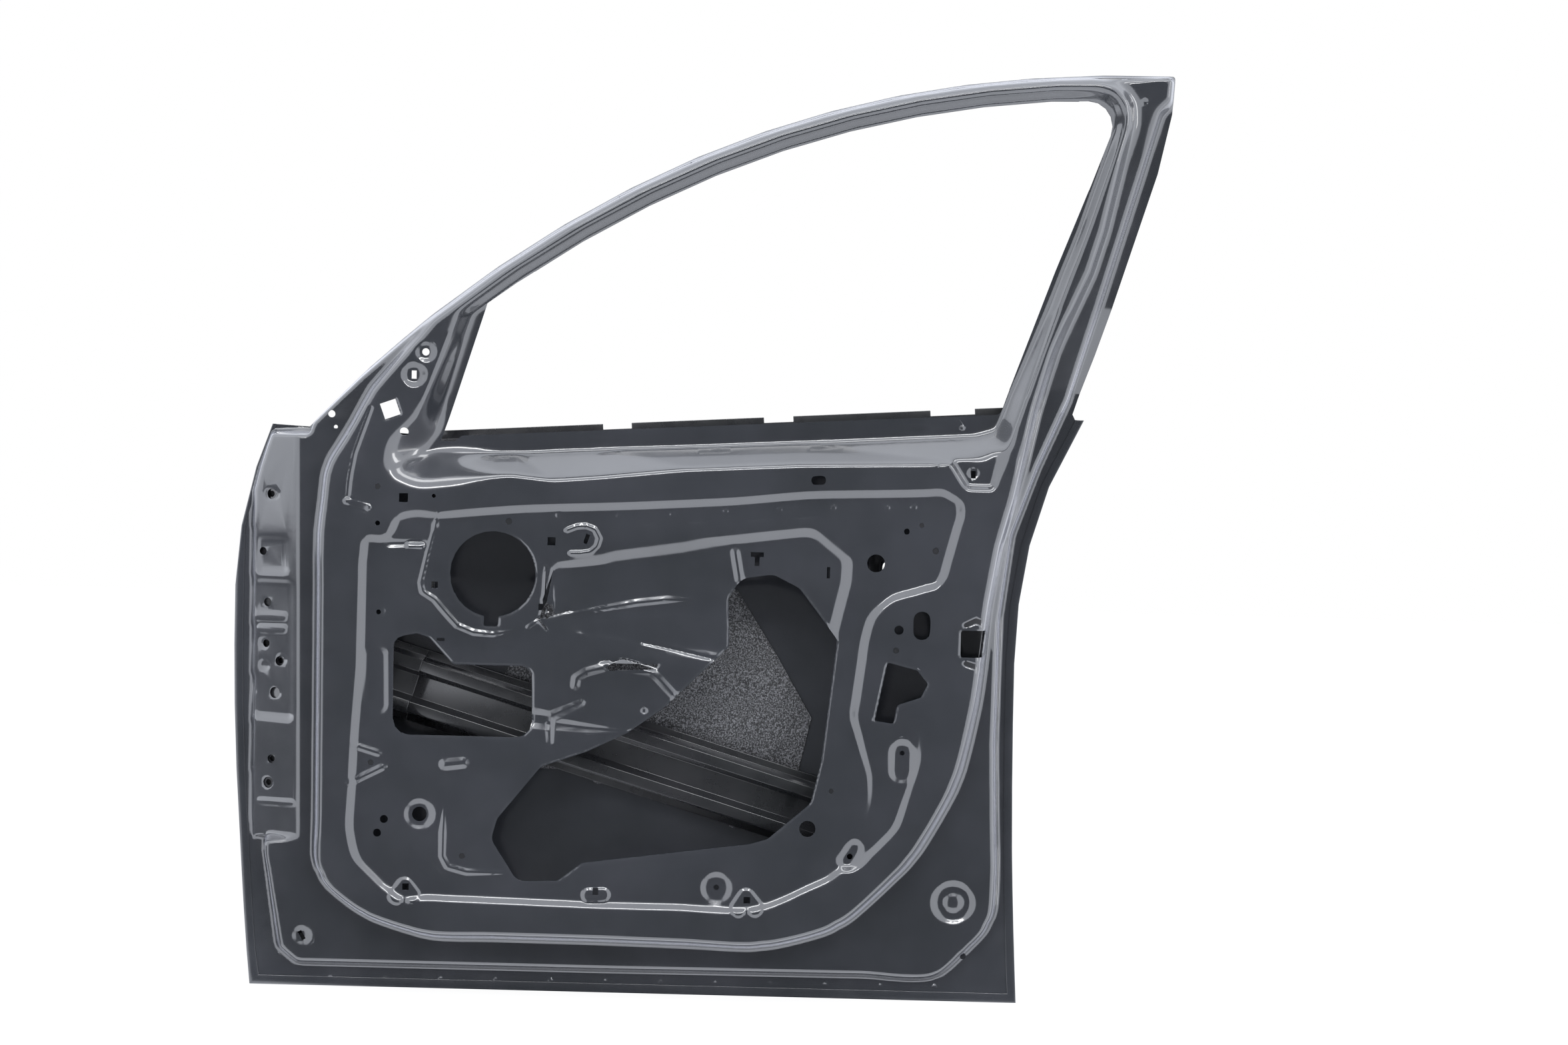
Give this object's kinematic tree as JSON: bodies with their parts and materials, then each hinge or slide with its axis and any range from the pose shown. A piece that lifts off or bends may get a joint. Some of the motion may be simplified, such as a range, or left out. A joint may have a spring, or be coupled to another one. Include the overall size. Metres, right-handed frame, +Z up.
{
  "type": "car door shell",
  "caption": "Pressed steel front door shell of a car, bare e-coat: inner panel with window frame, openings and stiffening beads, outer skin and inner reinforcements.",
  "frame": {"origin": "centre of the upper hinge seat, on the outside of the slanted front wall", "axes": "+Z up, -X to the car's front, +Y from the cabin to the outer skin"},
  "size_m": [1.1536, 0.1819, 1.1439],
  "materials": {
    "e_coat": "satin black electrocoat",
    "e_coat_inside": "satin black electrocoat on inner pieces",
    "mastic": "matt speckled mastic"
  },
  "bodies": {
    "root": {"inner_panel": "e_coat", "outer_skin": "e_coat", "header_channel": "e_coat_inside", "rear_post_channel": "e_coat_inside", "mirror_reinforcement": "e_coat_inside", "belt_reinforcement_inner": "e_coat_inside", "belt_reinforcement_outer": "e_coat_inside", "hinge_reinforcement": "e_coat_inside", "hinge_plate_upper": "e_coat_inside", "hinge_plate_lower": "e_coat_inside", "check_strap_plate": "e_coat_inside", "latch_reinforcement": "e_coat_inside", "intrusion_beam": "e_coat_inside", "beam_front_bracket": "e_coat_inside", "beam_rear_bracket": "e_coat_inside", "glass_channel_front": "e_coat_inside", "glass_channel_rear": "e_coat_inside", "handle_reinforcement": "e_coat_inside", "weld_nut_1": "e_coat_inside", "weld_nut_2": "e_coat_inside", "weld_nut_3": "e_coat_inside", "weld_nut_4": "e_coat_inside", "weld_nut_5": "e_coat_inside", "weld_nut_6": "e_coat_inside", "weld_nut_7": "e_coat_inside", "weld_nut_8": "e_coat_inside", "damping_pad": "mastic", "mastic_bead_1": "mastic", "mastic_bead_2": "mastic", "mastic_bead_3": "mastic", "mastic_bead_4": "mastic"}
  },
  "joints": []
}
